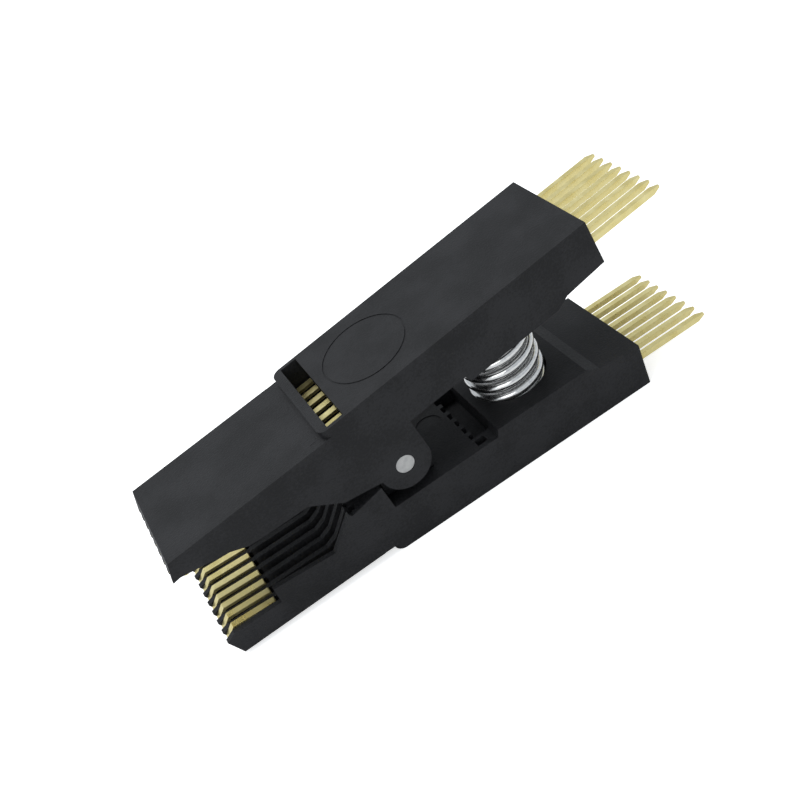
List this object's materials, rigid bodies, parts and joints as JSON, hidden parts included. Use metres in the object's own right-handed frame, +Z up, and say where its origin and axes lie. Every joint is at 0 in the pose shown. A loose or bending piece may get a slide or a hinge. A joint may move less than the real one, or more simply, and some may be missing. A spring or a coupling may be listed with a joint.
{
  "type": "ic test clip",
  "caption": "Spring-loaded test clip for small-outline chips: two moulded arms on a cross pin, a coil spring between the handles, and strip contacts from the jaws to header pins.",
  "frame": {"origin": "on the lower handle's outer flat face, straight below the pivot axis, half way across the clip", "axes": "+X towards the header pins, +Y across the clip along the pivot pin, +Z up, away from the face it rests on"},
  "size_m": [0.0481, 0.0106, 0.0173],
  "materials": {
    "black_plastic": "fine moulded grain",
    "pin_steel": "satin",
    "spring_steel": "bright drawn wire",
    "gold_plate": "gold plated, polished"
  },
  "bodies": {
    "lower_clip": {"lower_arm": "black_plastic", "pivot_pin": "pin_steel", "handle_spring": "spring_steel", "lower_contact_1": "gold_plate", "lower_contact_2": "gold_plate", "lower_contact_3": "gold_plate", "lower_contact_4": "gold_plate", "lower_contact_5": "gold_plate", "lower_contact_6": "gold_plate", "lower_contact_7": "gold_plate", "lower_contact_8": "gold_plate"},
    "upper_clip": {"upper_arm": "black_plastic", "upper_contact_1": "gold_plate", "upper_contact_2": "gold_plate", "upper_contact_3": "gold_plate", "upper_contact_4": "gold_plate", "upper_contact_5": "gold_plate", "upper_contact_6": "gold_plate", "upper_contact_7": "gold_plate", "upper_contact_8": "gold_plate"}
  },
  "joints": [
    {"name": "arm_pivot", "type": "hinge", "parent": "lower_clip", "child": "upper_clip", "pos_m": [0, 0, 0.0073], "axis": [0, 1, 0], "range_deg": [0, 20], "stiffness_Nm_per_rad": 0.12, "springref_deg": -20.05, "deforming": ["handle_spring"]}
  ]
}
